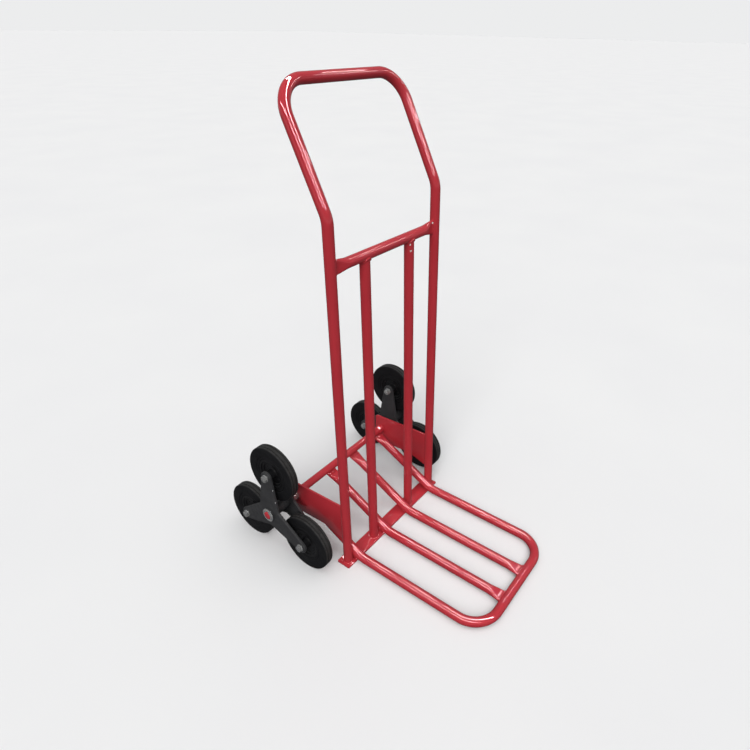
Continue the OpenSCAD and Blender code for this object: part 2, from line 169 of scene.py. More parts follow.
def add_camera():
    azimuth, elevation, roll = CAMERA_AZIMUTH, CAMERA_ELEVATION, CAMERA_ROLL
    back = Vector((math.sin(azimuth) * math.cos(elevation),
                   -math.cos(azimuth) * math.cos(elevation), math.sin(elevation)))
    right = Vector((math.cos(azimuth), math.sin(azimuth), 0))
    up = back.cross(right)
    rolled_right = math.cos(roll) * right + math.sin(roll) * up
    rolled_up = math.cos(roll) * up - math.sin(roll) * right
    data = bpy.data.cameras.new("camera")
    data.sensor_fit = "HORIZONTAL"
    data.sensor_width = SENSOR_MM
    data.lens = CAMERA_LENS_MM
    data.shift_x, data.shift_y = CAMERA_SHIFT
    data.clip_end = 200
    camera = bpy.data.objects.new("camera", data)
    turn = Matrix((rolled_right, rolled_up, back)).transposed().to_4x4()
    camera.matrix_world = Matrix.Translation(CAMERA_AT) @ turn
    bpy.context.scene.collection.objects.link(camera)
    bpy.context.scene.camera = camera


def add_sun(name, direction, strength, spread_degrees):
    """A broad soft light that leaves no highlight of its own"""
    data = bpy.data.lights.new(name, "SUN")
    data.energy = strength
    data.angle = math.radians(spread_degrees)
    light = bpy.data.objects.new(name, data)
    light.rotation_euler = Vector(direction).to_track_quat("-Z", "Y").to_euler()
    light.visible_glossy = False
    bpy.context.scene.collection.objects.link(light)


def add_world():
    """A pale background, and in reflections a dim dome, a pale horizon and a dark ground"""
    world = bpy.data.worlds.new("pale studio")
    world.use_nodes = True
    tree = world.node_tree
    direction = add_node(tree, "ShaderNodeTexCoord").outputs["Generated"]
    across, _, height = add_node(tree, "ShaderNodeSeparateXYZ", {0: direction}).outputs
    lit = remap(tree, maths(tree, "ADD", across, maths(tree, "MULTIPLY", height, 1.2)), -0.8, 0.1)
    dome = mix_colour(tree, lit, LEFT_WALL_COLOUR, CEILING_COLOUR)
    above = mix_colour(tree, remap(tree, height, 0.06, 0.14), HORIZON_COLOUR, dome)
    colour = mix_colour(tree, remap(tree, height, -0.10, -0.02), GROUND_COLOUR, above)
    seen = add_node(tree, "ShaderNodeLightPath").outputs["Is Camera Ray"]
    colour = mix_colour(tree, seen, colour, HORIZON_COLOUR)
    tree.links.new(colour, tree.nodes["Background"].inputs["Color"])
    bpy.context.scene.world = world


def add_lamp(name, x, y, width, depth, radiance, only):
    """A ceiling lamp that shows only as a narrow highlight, on everything or on one collection"""
    data = bpy.data.lights.new(name, "AREA")
    data.shape = "RECTANGLE"
    data.size, data.size_y = width, depth
    data.energy = radiance * math.pi * width * depth
    lamp = bpy.data.objects.new(name, data)
    lamp.location = (x, y, LAMP_HEIGHT)
    lamp.visible_diffuse = False
    lamp.visible_camera = False
    if only is not None:
        lamp.light_linking.receiver_collection = only
    bpy.context.scene.collection.objects.link(lamp)


def add_lights():
    add_world()
    for name, settings in SUNS.items():
        add_sun(name, *settings)
    for name, settings in LAMPS.items():
        add_lamp(name, *settings)


def add_floor(material):
    corners = [(x * FLOOR_HALF, y * FLOOR_HALF, 0) for x, y in ((-1, -1), (1, -1), (1, 1), (-1, 1))]
    mesh = bpy.data.meshes.new("floor")
    mesh.from_pydata(corners, [], [(0, 1, 2, 3)])
    mesh.materials.append(material)
    floor = bpy.data.objects.new("floor", mesh)
    floor.visible_diffuse = False
    floor.visible_glossy = False
    bpy.context.scene.collection.objects.link(floor)


# ---- material helpers ----

def principled(name, colour, roughness, **sockets):
    material = bpy.data.materials.new(name)
    material.use_nodes = True
    shader = material.node_tree.nodes["Principled BSDF"]
    shader.inputs["Base Color"].default_value = (*colour, 1)
    shader.inputs["Roughness"].default_value = roughness
    for socket, value in sockets.items():
        shader.inputs[socket.replace("_", " ")].default_value = value
    return material, material.node_tree, shader


def add_node(tree, kind, inputs=(), **settings):
    """A node with its settings and inputs; an input's value is a number or another node's output"""
    node = tree.nodes.new(kind)
    for name, value in settings.items():
        setattr(node, name, value)
    for key, value in dict(inputs).items():
        if isinstance(value, bpy.types.NodeSocket):
            tree.links.new(value, node.inputs[key])
        else:
            node.inputs[key].default_value = value
    return node


def object_position(tree):
    return add_node(tree, "ShaderNodeTexCoord").outputs["Object"]


def noise(tree, position, scale, detail=3.0, roughness=0.5):
    inputs = {"Vector": position, "Scale": scale, "Detail": detail, "Roughness": roughness}
    return add_node(tree, "ShaderNodeTexNoise", inputs).outputs[0]


def remap(tree, value, low, high, to_low=0.0, to_high=1.0):
    inputs = {"Value": value, "From Min": low, "From Max": high, "To Min": to_low, "To Max": to_high}
    return add_node(tree, "ShaderNodeMapRange", inputs, clamp=True).outputs[0]


def maths(tree, operation, a, b=0.0):
    return add_node(tree, "ShaderNodeMath", {0: a, 1: b}, operation=operation).outputs[0]


def mix_colour(tree, factor, a, b):
    inputs = {0: factor, 6: (*a, 1) if isinstance(a, tuple) else a,
              7: (*b, 1) if isinstance(b, tuple) else b}
    return add_node(tree, "ShaderNodeMix", inputs, data_type="RGBA").outputs[2]


def bump(tree, height, depth, under=None):
    inputs = {"Height": height, "Distance": depth}
    if under is not None:
        inputs["Normal"] = under
    return add_node(tree, "ShaderNodeBump", inputs).outputs[0]


def set_input(tree, shader, socket, output):
    tree.links.new(output, shader.inputs[socket])


def vary_roughness(tree, shader, position, scale, low, high):
    rough = remap(tree, noise(tree, position, scale, 4), 0.3, 0.7, low, high)
    set_input(tree, shader, "Roughness", rough)


def radius_about_z(tree, position):
    """Distance from the local Z axis, and the height along it"""
    parts = add_node(tree, "ShaderNodeSeparateXYZ", {0: position}).outputs
    squares = [maths(tree, "MULTIPLY", parts[i], parts[i]) for i in (0, 1)]
    return maths(tree, "SQRT", maths(tree, "ADD", *squares)), parts[2]


def facing_up(tree):
    normal = add_node(tree, "ShaderNodeNewGeometry").outputs["Normal"]
    return add_node(tree, "ShaderNodeSeparateXYZ", {0: normal}).outputs[2]


# ---- materials ----

def near_any(tree, position, spots, radius):
    """1 within a ragged radius of any of the spots, 0 elsewhere"""
    ragged = remap(tree, noise(tree, position, 420, 2), 0.3, 0.7, 0.45 * radius, 1.3 * radius)
    mask = None
    for spot in spots:
        inputs = {0: position, 1: spot}
        away = add_node(tree, "ShaderNodeVectorMath", inputs, operation="DISTANCE").outputs["Value"]
        inside = maths(tree, "LESS_THAN", away, ragged)
        mask = inside if mask is None else maths(tree, "MAXIMUM", mask, inside)
    return mask


def chip_spots():
    """Places where the paint has chipped: by the crossbar's right end and on the right bar"""
    front = UPRIGHT_Y - TUBE_R
    return [(UPRIGHT_X - 0.016, front + 0.008, CROSSBAR_Z + 0.012),
            (BAR_X - 0.007, front + 0.004, CROSSBAR_Z - 0.0165),
            (BAR_X - 0.006, front + 0.003, CROSSBAR_Z - 0.032)]


def red_paint():
    material, tree, shader = principled(
        "red gloss paint", (0.47, 0.033, 0.044), 0.03, Specular_IOR_Level=0.45,
        Specular_Tint=(1.0, 0.55, 0.60, 1.0), Coat_Weight=0.15, Coat_Roughness=0.02)
    position = object_position(tree)
    shade = remap(tree, noise(tree, position, 9, 4), 0.3, 0.7)
    colour = mix_colour(tree, shade, (0.45, 0.030, 0.041), (0.49, 0.036, 0.047))
    chips = near_any(tree, position, chip_spots(), 0.0028)
    colour = mix_colour(tree, chips, colour, (0.80, 0.76, 0.74))
    set_input(tree, shader, "Base Color", colour)
    vary_roughness(tree, shader, position, 60, 0.02, 0.05)
    peel = bump(tree, noise(tree, position, 300, 2), 0.000003)
    edge = bump(tree, maths(tree, "SUBTRACT", 1.0, chips), 0.0002, under=peel)
    set_input(tree, shader, "Normal", edge)
    return material


def star_chip_and_glint_spots():
    """Near-white spots on the front edge of a star plate's top arm, in the star's own frame: paint chips, and
    painted highlight standing in for the edge's glints
    """
    return [(0.0915, -0.0222, PAD_OUT - 0.0006), (0.0539, -0.0287, PAD_OUT + 0.0012)]


def star_paint():
    material, tree, shader = principled(
        "charcoal satin paint", (0.036, 0.036, 0.039), 0.42, Specular_IOR_Level=0.35)
    position = object_position(tree)
    shade = remap(tree, noise(tree, position, 30, 5, 0.6), 0.3, 0.7)
    colour = mix_colour(tree, shade, (0.030, 0.030, 0.032), (0.043, 0.043, 0.045))
    dust = maths(tree, "MULTIPLY", remap(tree, facing_up(tree), 0.3, 1.0),
                 remap(tree, noise(tree, position, 160, 4), 0.35, 0.75, 0.0, 0.25))
    colour = mix_colour(tree, dust, colour, (0.13, 0.125, 0.12))
    # two near-white spots on the plate's edge: paint chips, and painted highlight for the glints along that edge
    chips = near_any(tree, position, star_chip_and_glint_spots(), 0.0014)
    colour = mix_colour(tree, chips, colour, (0.75, 0.75, 0.76))
    set_input(tree, shader, "Base Color", colour)
    vary_roughness(tree, shader, position, 90, 0.36, 0.52)
    set_input(tree, shader, "Normal", bump(tree, noise(tree, position, 1100, 2), 0.00006))
    return material


def tyre_rubber():
    material, tree, shader = principled(
        "moulded black rubber", (0.008, 0.008, 0.009), 0.6, Specular_IOR_Level=0.18)
    position = object_position(tree)
    radius, height = radius_about_z(tree, position)
    shade = remap(tree, noise(tree, position, 45, 5, 0.6), 0.3, 0.7)
    colour = mix_colour(tree, shade, (0.006, 0.006, 0.007), (0.011, 0.011, 0.012))
    # lighter grey round the tread: scuffing, and painted sheen for the light that the tread's top catches
    scuff_and_sheen = maths(tree, "MULTIPLY", remap(tree, radius, WHEEL_R - 0.0012, WHEEL_R),
                    remap(tree, noise(tree, position, 120, 4, 0.7), 0.35, 0.7, 0.4, 0.9))
    colour = mix_colour(tree, scuff_and_sheen, colour, (0.046, 0.045, 0.044))
    in_groove = maths(tree, "MULTIPLY", remap(tree, radius, WHEEL_R - 0.0004, WHEEL_R - 0.0012),
                      remap(tree, maths(tree, "ABSOLUTE", height), 0.0070, 0.0064))
    grit = remap(tree, noise(tree, position, 260, 4, 0.7), 0.4, 0.65, 0.0, 0.5)
    colour = mix_colour(tree, maths(tree, "MULTIPLY", in_groove, grit), colour, (0.06, 0.055, 0.048))
    set_input(tree, shader, "Base Color", colour)
    vary_roughness(tree, shader, position, 80, 0.50, 0.68)
    set_input(tree, shader, "Normal", bump(tree, noise(tree, position, 1500, 3, 0.6), 0.00008))
    return material


def rim_paint():
    material, tree, shader = principled(
        "black rim paint", (0.008, 0.008, 0.009), 0.38, Specular_IOR_Level=0.3)
    position = object_position(tree)
    dust = remap(tree, noise(tree, position, 110, 5, 0.65), 0.45, 0.75, 0.0, 0.4)
    colour = mix_colour(tree, dust, (0.007, 0.007, 0.008), (0.022, 0.021, 0.020))
    set_input(tree, shader, "Base Color", colour)
    set_input(tree, shader, "Roughness", remap(tree, dust, 0.0, 0.4, 0.30, 0.55))
    set_input(tree, shader, "Normal", bump(tree, noise(tree, position, 800, 2), 0.00005))
    return material


def zinc():
    material, tree, shader = principled("bright zinc plate", (0.62, 0.63, 0.64), 0.3, Metallic=0.7)
    position = object_position(tree)
    tint = remap(tree, noise(tree, position, 75, 4, 0.6), 0.3, 0.7)
    colour = mix_colour(tree, tint, (0.46, 0.47, 0.50), (0.60, 0.59, 0.55))
    stains = remap(tree, noise(tree, position, 320, 4, 0.7), 0.55, 0.75, 0.0, 0.5)
    colour = mix_colour(tree, stains, colour, (0.22, 0.22, 0.22))
    set_input(tree, shader, "Base Color", colour)
    vary_roughness(tree, shader, position, 240, 0.16, 0.28)
    set_input(tree, shader, "Normal", bump(tree, noise(tree, position, 1300, 3), 0.00005))
    return material


def bush_plastic():
    material, tree, shader = principled("dark bush plastic", (0.03, 0.03, 0.032), 0.5)
    position = object_position(tree)
    shade = remap(tree, noise(tree, position, 200, 4), 0.3, 0.7)
    colour = mix_colour(tree, shade, (0.024, 0.024, 0.026), (0.04, 0.04, 0.042))
    set_input(tree, shader, "Base Color", colour)
    set_input(tree, shader, "Roughness", remap(tree, shade, 0.0, 1.0, 0.42, 0.6))
    set_input(tree, shader, "Normal", bump(tree, noise(tree, position, 900, 2), 0.00005))
    return material


def floor_paint():
    material, tree, shader = principled("pale floor", (0.81, 0.81, 0.81), 0.9, Specular_IOR_Level=0.0)
    position = object_position(tree)
    shade = remap(tree, noise(tree, position, 1.5, 3), 0.3, 0.7)
    colour = mix_colour(tree, shade, (0.80, 0.80, 0.805), (0.82, 0.82, 0.82))
    set_input(tree, shader, "Base Color", colour)
    return material


MATERIALS = {
    "red_paint": red_paint(),
    "star_paint": star_paint(),
    "tyre_rubber": tyre_rubber(),
    "rim_paint": rim_paint(),
    "zinc": zinc(),
    "bush_plastic": bush_plastic(),
}


# ---- mesh helpers ----

def piece(name, verts, faces, slot, body, nodes=(), place=None, sharp_degrees=32):
    """Makes a mesh object with its slot's material, in its place and tied to its body, and hides the CAD nodes
    that it stands for
    """
    mesh = bpy.data.meshes.new(name)
    mesh.from_pydata([tuple(v) for v in verts], [], [tuple(f) for f in faces])
    edit = bmesh.new()
    edit.from_mesh(mesh)
    bmesh.ops.remove_doubles(edit, verts=edit.verts, dist=1e-7)
    bmesh.ops.recalc_face_normals(edit, faces=edit.faces)
    edit.to_mesh(mesh)
    edit.free()
    mesh.shade_smooth()
    mesh.set_sharp_from_angle(angle=math.radians(sharp_degrees))
    mesh.materials.append(MATERIALS[slot])
    obj = bpy.data.objects.new(name, mesh)
    bpy.context.scene.collection.objects.link(obj)
    if place is not None:
        obj.matrix_world = place
    if slot == "red_paint":
        RED_PIECES.objects.link(obj)
    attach(obj, body)
    if nodes:
        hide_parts(*nodes)
    return obj


def fillet(points, radii, steps=4):
    """Rounds each corner of a closed outline; radii is one radius, or one for each corner"""
    corners = [Vector(p) for p in points]
    count = len(corners)
    rounded = []
    for i, corner in enumerate(corners):
        radius = radii[i] if isinstance(radii, (list, tuple)) else radii
        back, ahead = corners[i - 1] - corner, corners[(i + 1) % count] - corner
        half = back.angle(ahead) / 2
        if radius <= 0 or half > math.radians(89):
            rounded.append(tuple(corner))
            continue
        tangent = min(radius / math.tan(half), 0.49 * back.length, 0.49 * ahead.length)
        radius = tangent * math.tan(half)
        inward = (back.normalized() + ahead.normalized()).normalized()
        centre = corner + inward * radius / math.sin(half)
        first = corner + back.normalized() * tangent - centre
        last = corner + ahead.normalized() * tangent - centre
        turn = first.angle_signed(last)
        for k in range(steps + 1):
            angle = -turn * k / steps
            rounded.append((centre.x + first.x * math.cos(angle) - first.y * math.sin(angle),
                            centre.y + first.x * math.sin(angle) + first.y * math.cos(angle)))
    return rounded


def loft(rings, closed_path=False, caps=True):
    """Skins a list of rings with the same number of points, as verts and faces"""
    rings = [np.asarray(r, float) for r in rings]
    count, around = len(rings), len(rings[0])
    verts = np.vstack(rings)
    faces = []
    for i in range(count if closed_path else count - 1):
        j = (i + 1) % count
        for k in range(around):
            m = (k + 1) % around
            faces.append((i * around + k, i * around + m, j * around + m, j * around + k))
    if caps and not closed_path:
        faces.append(tuple(range(around)))
        faces.append(tuple((count - 1) * around + k for k in range(around)))
    return verts, faces


def lathe(profile, segments=96):
    """Turns a closed outline of (radius, height) points about the Z axis"""
    angles = even_angles(segments)
    rings = [[(r * math.cos(a), r * math.sin(a), z) for r, z in profile] for a in angles]
    return loft(rings, closed_path=True)


def turned_bar(radii_and_heights, segments=64):
    """A solid turned about Z, from one flat end to the other"""
    angles = even_angles(segments)
    rings = [[(r * math.cos(a), r * math.sin(a), z) for a in angles] for r, z in radii_and_heights]
    return loft(rings)


def washer(inner_r, outer_r, low, high, edge=0.0003):
    corners = [(inner_r, low), (outer_r, low), (outer_r, high), (inner_r, high)]
    return lathe(fillet(corners, edge, 3))


def even_angles(count):
    return [2 * math.pi * k / count for k in range(count)]


def joined(*parts):
    """Several sets of verts and faces as one"""
    verts, faces, start = [], [], 0
    for part_verts, part_faces in parts:
        verts.extend(part_verts)
        faces.extend(tuple(i + start for i in f) for f in part_faces)
        start += len(part_verts)
    return verts, faces


def moved(part, matrix):
    verts, faces = part
    return [matrix @ Vector(v) for v in verts], faces


# ---- tubes ----

def tube_path(start, heading, wide, legs, step=0.006):
    """Points and section axes along a bent tube; a leg is (straight, bend, radius, direction)"""
    at, ahead, across = Vector(start), Vector(heading), Vector(wide)
    stations = [(at.copy(), ahead.copy(), across.copy())]
    for length, bend, radius, towards in legs:
        parts = max(1, math.ceil(length / step))
        for k in range(1, parts + 1):
            stations.append((at + ahead * length * k / parts, ahead.copy(), across.copy()))
        at = at + ahead * length
        if bend:
            inward = (Vector(towards) - ahead * ahead.dot(Vector(towards))).normalized()
            axis = ahead.cross(inward)
            centre = at + inward * radius
            parts = math.ceil(math.degrees(bend) / 3)
            for k in range(1, parts + 1):
                turn = Matrix.Rotation(bend * k / parts, 3, axis)
                stations.append((centre + turn @ (at - centre), turn @ ahead, turn @ across))
            at, ahead, across = (v.copy() for v in stations[-1])
    return stations


def flattened_outline(thickness, inset=0.0, count=48):
    """Outline of a tube pressed to a thickness, keeping its girth, with the wide way first"""
    straight = math.pi * (TUBE_D - thickness) / 4
    r = thickness / 2
    girth = math.pi * TUBE_D
    outline = []
    for k in range(count):
        s = girth * k / count
        mirrored = s >= girth / 2
        if mirrored:
            s -= girth / 2
        if s < straight:
            x, y = s, r - inset
        elif s < straight + math.pi * r:
            angle = math.pi / 2 - (s - straight) / r
            x, y = straight + (r - inset) * math.cos(angle), (r - inset) * math.sin(angle)
        else:
            x, y = straight - (s - straight - math.pi * r), -(r - inset)
        outline.append((-x, -y) if mirrored else (x, y))
    return outline


def pressed_thickness(from_end, tab):
    """Thickness of a tube at a distance from an end pressed flat over a tab; None is a round end"""
    if tab is None:
        return TUBE_D
    t = min(max((from_end - tab) / CRUSH_LEN, 0), 1)
    return CRUSH_T + (TUBE_D - CRUSH_T) * t * t * (3 - 2 * t)


def ring_at(station, outline, along=0.0):
    at, ahead, across = station
    up = ahead.cross(across)
    return [at + ahead * along + across * x + up * y for x, y in outline]


def open_mouth(station, thickness, inward, depth=0.012):
    """Rings that turn a tube's end in over its wall, from the recess outwards"""
    lip = 0.0004
    inner = flattened_outline(thickness, TUBE_WALL)
    return [ring_at(station, inner, inward * depth), ring_at(station, inner, inward * lip),
            ring_at(station, flattened_outline(thickness, TUBE_WALL - lip)),
            ring_at(station, flattened_outline(thickness, lip))]


def tube(stations, start_tab=None, end_tab=None):
    """A tube along its stations, open at both ends, with either end pressed flat"""
    travelled = [0.0]
    for a, b in zip(stations, stations[1:]):
        travelled.append(travelled[-1] + (b[0] - a[0]).length)
    rings = []
    for station, distance in zip(stations, travelled):
        thickness = min(pressed_thickness(distance, start_tab),
                        pressed_thickness(travelled[-1] - distance, end_tab))
        rings.append(ring_at(station, flattened_outline(thickness)))
    start_t, end_t = pressed_thickness(0, start_tab), pressed_thickness(0, end_tab)
    mouth = open_mouth(stations[0], start_t, 1)
    tail = open_mouth(stations[-1], end_t, -1)[::-1]
    return loft(mouth + rings + tail)


# ---- welds ----

def bead(points, radius, closed, axis, pitch=0.0032, depth=0.10):
    """A rippled weld bead along points; axis is any direction that the path never follows"""
    points = [Vector(p) for p in points]
    count = len(points)
    rings, travelled = [], 0.0
    for i, at in enumerate(points):
        before = points[i - 1] if closed or i > 0 else at
        after = points[(i + 1) % count] if closed or i < count - 1 else at
        ahead = (after - before).normalized()
        across = Vector(axis).cross(ahead).normalized()
        up = ahead.cross(across)
        if i > 0:
            travelled += (at - points[i - 1]).length
        wave = math.sin(2 * math.pi * travelled / pitch) + 0.5 * math.sin(97 * travelled / pitch)
        ripple = 1 + depth * wave
        if not closed:
            end = min(i, count - 1 - i) / 4
            ripple *= min(1, 0.25 + 0.75 * end)
        r = radius * ripple
        rings.append(circle_points(at, r, across, up, 12))
    return loft(rings, closed_path=closed)


def along(a, b, step=0.0008):
    a, b = Vector(a), Vector(b)
    parts = max(8, math.ceil((b - a).length / step))
    return [a.lerp(b, k / parts) for k in range(parts + 1)]


def circle_points(centre, radius, u, v, count=96):
    return [centre + u * radius * math.cos(a) + v * radius * math.sin(a) for a in even_angles(count)]


# ---- frame pieces ----

def handle_legs():
    bend_tangent = HANDLE_BEND_R * math.tan(LEAN / 2)
    upright = BEND_HEIGHT - BASE_TOP - bend_tangent
    side = HANDLE_LEN - bend_tangent - HANDLE_CORNER_R
    grip = 2 * UPRIGHT_X - 2 * HANDLE_CORNER_R
    down = Vector((0, -math.sin(LEAN), -math.cos(LEAN)))
    return [(upright, LEAN, HANDLE_BEND_R, Y_AXIS), (side, math.pi / 2, HANDLE_CORNER_R, X_AXIS),
            (grip, math.pi / 2, HANDLE_CORNER_R, down), (side, LEAN, HANDLE_BEND_R, -Z_AXIS),
            (upright, 0, 0, None)]


def add_handle():
    start = (-UPRIGHT_X, UPRIGHT_Y, BASE_TOP)
    stations = tube_path(start, Z_AXIS, X_AXIS, handle_legs())
    piece("handle_tube", *tube(stations), "red_paint", "frame", ["handle_frame"])


def add_crossbar():
    start = (-UPRIGHT_X + TUBE_R / 2, UPRIGHT_Y, CROSSBAR_Z)
    length = 2 * UPRIGHT_X - TUBE_R
    stations = tube_path(start, X_AXIS, Z_AXIS, [(length, 0, 0, None)], step=0.003)
    tab = TUBE_R / 2
    piece("crossbar_tube", *tube(stations, tab, tab), "red_paint", "frame", ["crossbar"])


def add_bars():
    for side, sign in SIDES.items():
        start = (sign * BAR_X, UPRIGHT_Y, BASE_TOP)
        stations = tube_path(start, Z_AXIS, X_AXIS, [(CROSSBAR_Z - BASE_TOP, 0, 0, None)], step=0.05)
        piece(side + "_bar_tube", *tube(stations), "red_paint", "frame", [side + "_bar"])


def eased_edge(radius, steps):
    """How far in and how far down each step of a quarter-round edge is, from the face outwards"""
    angles = [math.pi / 2 * k / steps for k in range(steps + 1)]
    return [(radius * (1 - math.sin(a)), radius * (1 - math.cos(a))) for a in angles]


def slab(outline, thickness, edge):
    """A flat plate from -thickness/2 to thickness/2, with its edges eased"""
    outline = [Vector(p) for p in outline]
    levels = [(inset, drop - thickness / 2) for inset, drop in eased_edge(edge, 2)]
    levels += [(inset, -z) for inset, z in reversed(levels)]
    rings = [[(*p, z) for p in inset_outline(outline, inset)] for inset, z in levels]
    return loft(rings)


def inset_outline(outline, distance):
    """A closed outline moved inwards; the outline runs anticlockwise"""
    moved_points = []
    count = len(outline)
    for i, p in enumerate(outline):
        back = (p - outline[i - 1]).normalized()
        ahead = (outline[(i + 1) % count] - p).normalized()
        normal = Vector((-back.y - ahead.y, back.x + ahead.x)).normalized()
        square = max(0.3, normal.dot(Vector((-back.y, back.x))))
        moved_points.append(tuple(p + normal * distance / square))
    return moved_points


def add_base_plate():
    low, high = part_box("base_plate")
    at = middle("base_plate")
    half_l, half_w = (high.x - low.x) / 2, (high.y - low.y) / 2
    corners = [(-half_l, -half_w), (half_l, -half_w), (half_l, half_w), (-half_l, half_w)]
    plate = slab(fillet(corners, 0.003, 5), high.z - low.z, 0.0006)
    place = Matrix.Translation(at)
    piece("base_bar", *plate, "red_paint", "frame", ["base_plate"], place)


def nose_slope():
    """Angle and straight length of the nose tubes' slope, which ends flat under the axle"""
    run, rise = AXLE.y - KINK_Y, AXLE.z - NOSE_Z
    direct = math.hypot(run, rise)
    below = AXLE_R + CRUSH_T / 2
    angle = math.atan2(rise, run) - math.asin(below / direct)
    reach = math.sqrt(direct ** 2 - below ** 2)
    return angle, reach - KINK_R * math.tan(angle / 2) + TAB_PAST


def slope_start(x):
    """Upper end of a sloping nose tube, and the direction down it"""
    angle, straight = nose_slope()
    down = Vector((0, -math.cos(angle), -math.sin(angle)))
    up_len = KINK_R * math.tan(angle / 2) + straight
    return Vector((x, KINK_Y, NOSE_Z)) - down * up_len, down


def add_outer_nose():
    angle, straight = nose_slope()
    tangent = KINK_R * math.tan(angle / 2)
    reach = KINK_Y - NOSE_FRONT_Y - tangent - NOSE_CORNER_R
    start, down = slope_start(-NOSE_X)
    legs = [(straight, angle, KINK_R, -Y_AXIS),
            (reach, math.pi / 2, NOSE_CORNER_R, X_AXIS),
            (2 * NOSE_X - 2 * NOSE_CORNER_R, math.pi / 2, NOSE_CORNER_R, Y_AXIS),
            (reach, angle, KINK_R, Z_AXIS), (straight, 0, 0, None)]
    stations = tube_path(start, down, X_AXIS, legs, step=0.004)
    tab = TAB_BEFORE + TAB_PAST
    piece("nose_loop_tube", *tube(stations, tab, tab), "red_paint", "frame", ["nose_outer_tube"])


def add_inner_nose():
    angle, straight = nose_slope()
    tangent = KINK_R * math.tan(angle / 2)
    reach = KINK_Y - NOSE_FRONT_Y - tangent - TUBE_R / 2
    for side, sign in SIDES.items():
        start, down = slope_start(sign * INNER_NOSE_X)
        legs = [(straight, angle, KINK_R, -Y_AXIS), (reach, 0, 0, None)]
        stations = tube_path(start, down, X_AXIS, legs, step=0.004)
        shape = tube(stations, TAB_BEFORE + TAB_PAST, TUBE_R / 2)
        piece(side + "_nose_inner", *shape, "red_paint", "frame", [side + "_nose_tube"])


def bracket_outline():
    low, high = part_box("right_bracket")
    knee_y, knee_z = UPRIGHT_Y + 0.072, 0.094
    back_low = 0.086
    back_top = 0.184
    return [(UPRIGHT_Y, low.z), (knee_y, knee_z), (high.y, back_low), (high.y, back_top),
            (UPRIGHT_Y, high.z)]


def add_brackets():
    for side, sign in SIDES.items():
        outline = fillet(bracket_outline(), [0, 0.02, 0.008, 0.008, 0], 6)
        plate = slab(outline, BRACKET_T, 0.0005)
        place = Matrix.Translation((sign * BRACKET_X, 0, 0)) @ side_on()
        piece(side + "_bracket_plate", *plate, "red_paint", "frame", [side + "_bracket"], place)


def side_on():
    """Turns a shape drawn in XY so that its X is the row's Y and its Y is the row's Z"""
    return Matrix(((0, 0, 1, 0), (1, 0, 0, 0), (0, 1, 0, 0), (0, 0, 0, 1)))


def add_axle():
    groove_x = middle("right_snap_ring").x
    half_groove = 0.00085
    dome = [(0.0, 0.0001), (0.0050, 0.0003), (0.0078, 0.0007), (0.0096, 0.0013), (0.0106, 0.0019),
            (AXLE_R, 0.0023)]
    half = [(r, AXLE_HALF - drop) for r, drop in dome]
    half += [(AXLE_R, groove_x + half_groove), (AXLE_GROOVE_R, groove_x + half_groove),
             (AXLE_GROOVE_R, groove_x - half_groove), (AXLE_R, groove_x - half_groove)]
    both = [(r, -z) for r, z in half] + half[::-1]
    bar = turned_bar([(max(r, 1e-5), z) for r, z in both])
    place = Matrix.Translation(AXLE) @ Matrix.Rotation(math.pi / 2, 4, "Y")
    piece("axle_rod", *bar, "red_paint", "frame", ["axle_bar"], place)


# ---- welds on the frame ----

def foot_welds():
    welds = []
    for sign in SIDES.values():
        for x in (sign * UPRIGHT_X, sign * BAR_X):
            centre = Vector((x, UPRIGHT_Y, BASE_TOP + BEAD_STANDS_OFF))
            ring = circle_points(centre, TUBE_R + BEAD_STANDS_OFF, X_AXIS, Y_AXIS)
            welds.append(bead(ring, WIDE_BEAD_R, True, Z_AXIS))
    return welds


def bar_top_welds():
    welds = []
    for x in (-BAR_X, BAR_X):
        points = []
        for a in even_angles(120):
            drop = math.sqrt((TUBE_R * math.cos(a)) ** 2 + 0.004 ** 2)
            points.append((x + (TUBE_R + BEAD_STANDS_OFF) * math.cos(a),
                           UPRIGHT_Y + TUBE_R * math.sin(a), CROSSBAR_Z - drop - 0.0003))
        welds.append(bead(points, MIDDLE_BEAD_R, True, Z_AXIS))
    return welds


def pressed_end_weld(centre, back, wide, thin, axis):
    """Round a pressed end where it meets another tube; back is the way out of that tube"""
    points = []
    for a, b in flattened_outline(CRUSH_T, count=120):
        reach = math.sqrt(TUBE_R ** 2 - b ** 2) + 0.0003
        points.append(Vector(centre) + back * reach + wide * a + thin * b)
    return bead(points, BEAD_R, True, axis)


def crossbar_end_welds():
    return [pressed_end_weld((sign * UPRIGHT_X, UPRIGHT_Y, CROSSBAR_Z), -sign * X_AXIS,
                             Z_AXIS, Y_AXIS, X_AXIS) for sign in SIDES.values()]


def nose_front_welds():
    return [pressed_end_weld((sign * INNER_NOSE_X, NOSE_FRONT_Y, NOSE_Z), Y_AXIS,
                             X_AXIS, Z_AXIS, Y_AXIS) for sign in SIDES.values()]


def nose_plate_welds():
    """Where each nose tube rises over the base plate's front edge"""
    edge_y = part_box("base_plate")[0].y
    welds = []
    for x in NOSE_TUBES_X:
        for reach in (-1, 1):
            points = along((x + reach * 0.0045, edge_y + 0.001, BASE_TOP + 0.0002),
                           (x + reach * 0.0125, edge_y + 0.001, BASE_TOP + 0.0002))
            welds.append(bead(points, WIDE_BEAD_R, False, Z_AXIS))
    return welds


